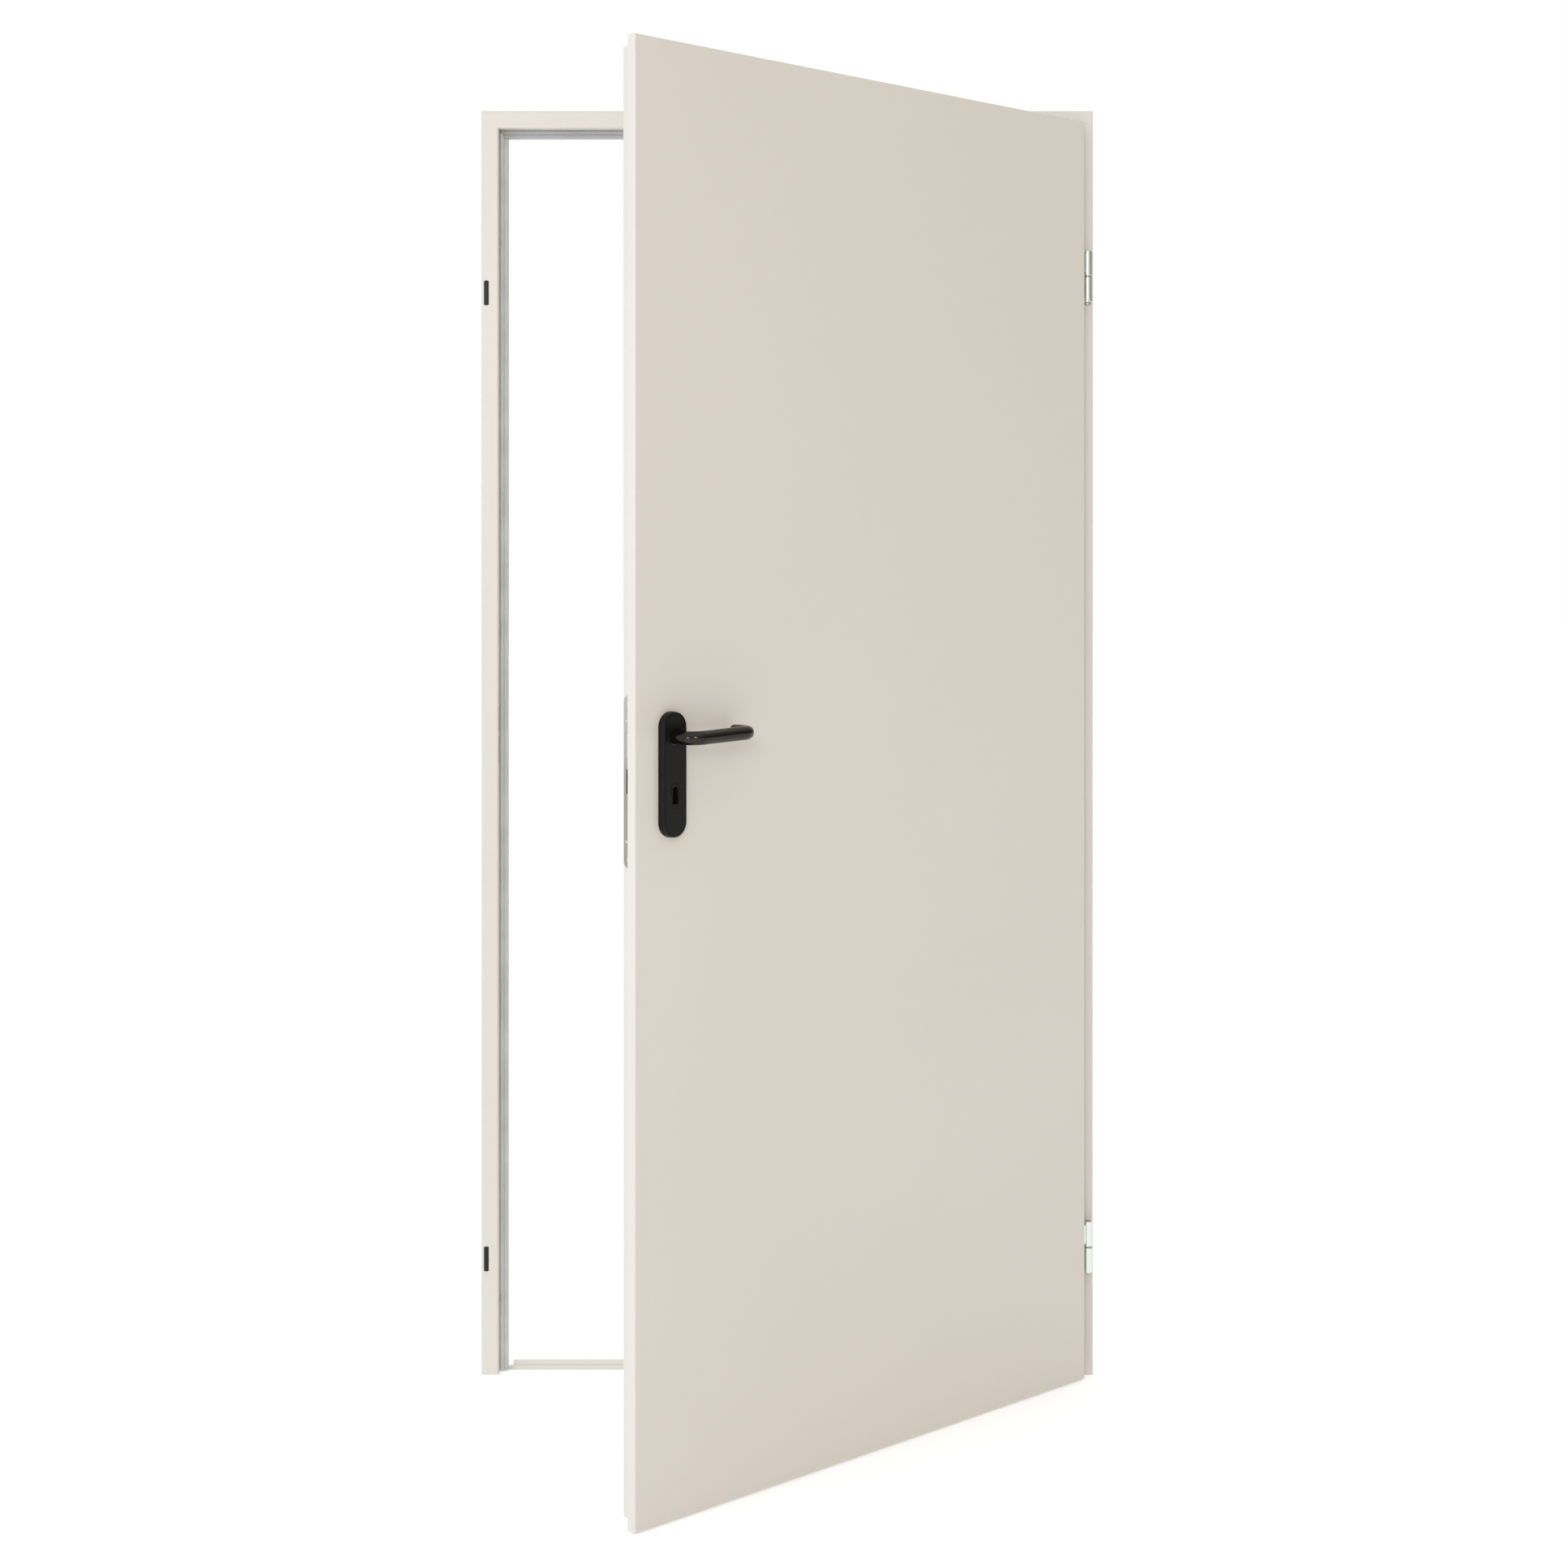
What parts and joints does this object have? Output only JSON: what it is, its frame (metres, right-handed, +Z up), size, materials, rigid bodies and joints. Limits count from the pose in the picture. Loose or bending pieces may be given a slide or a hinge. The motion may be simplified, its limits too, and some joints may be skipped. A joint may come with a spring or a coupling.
{
  "type": "insulated exterior door",
  "caption": "Insulated steel exterior door, its rebated leaf hung on knuckle hinges in a folded steel frame, with a gasket, low threshold, mortise lock and lever handles.",
  "frame": {"origin": "on the hinge jamb's wall side, at its foot, in the middle of the front lip", "axes": "+X from the lock side to the hinge side, +Y from the front of the frame into the wall, +Z up"},
  "size_m": [0.99, 0.7236, 2.045],
  "materials": {
    "frame_paint": "satin grey-white powder coat",
    "threshold_paint": "satin grey-white powder coat",
    "leaf_paint": "satin grey-white powder coat",
    "gasket_rubber": "matt grey",
    "mortar_guard_plastic": "matt black",
    "plug_plastic": "satin black",
    "pocket_steel": "galvanised",
    "hinge_zinc": "bright zinc plated",
    "pin_steel": "bright",
    "washer_steel": "dull, oiled",
    "insulation": "mineral wool",
    "lock_zinc": "galvanised satin",
    "bolt_steel": "satin",
    "handle_plastic": "satin black",
    "key_insert_plastic": "satin black",
    "spindle_steel": "bright"
  },
  "bodies": {
    "frame": {"lock_jamb": "frame_paint", "hinge_jamb": "frame_paint", "frame_head": "frame_paint", "threshold": "threshold_paint", "lock_jamb_gasket": "gasket_rubber", "hinge_jamb_gasket": "gasket_rubber", "head_gasket": "gasket_rubber", "strike_box": "mortar_guard_plastic", "lower_slot_plug": "plug_plastic", "lower_plug_pocket": "pocket_steel", "lower_hinge_pocket": "pocket_steel", "lower_frame_knuckle": "hinge_zinc", "lower_hinge_pin": "pin_steel", "lower_hinge_washer": "washer_steel", "upper_slot_plug": "plug_plastic", "upper_plug_pocket": "pocket_steel", "upper_hinge_pocket": "pocket_steel", "upper_frame_knuckle": "hinge_zinc", "upper_hinge_pin": "pin_steel", "upper_hinge_washer": "washer_steel"},
    "leaf": {"leaf_front_skin": "leaf_paint", "leaf_back_skin": "leaf_paint", "leaf_core": "insulation", "lock_forend": "lock_zinc", "lock_case": "lock_zinc", "latch_bolt": "bolt_steel", "deadbolt": "bolt_steel", "front_handle_plate": "handle_plastic", "back_handle_plate": "handle_plastic", "key_insert": "key_insert_plastic", "lower_leaf_knuckle": "hinge_zinc", "upper_leaf_knuckle": "hinge_zinc"},
    "lever_set": {"front_lever": "handle_plastic", "back_lever": "handle_plastic", "lever_spindle": "spindle_steel"}
  },
  "joints": [
    {"name": "leaf_hinge", "type": "hinge", "parent": "frame", "child": "leaf", "pos_m": [-0.0105, -0.0233, 1.0225], "axis": [0, 0, 1], "range_deg": [-43.6, 76.4]},
    {"name": "lever_turn", "type": "hinge", "parent": "leaf", "child": "lever_set", "pos_m": [-0.65451, -0.64238, 1.072], "axis": [-0.6896, 0.7242, 0], "range_deg": [0, 40], "stiffness_Nm_per_rad": 1.2, "springref_deg": -20.05}
  ]
}
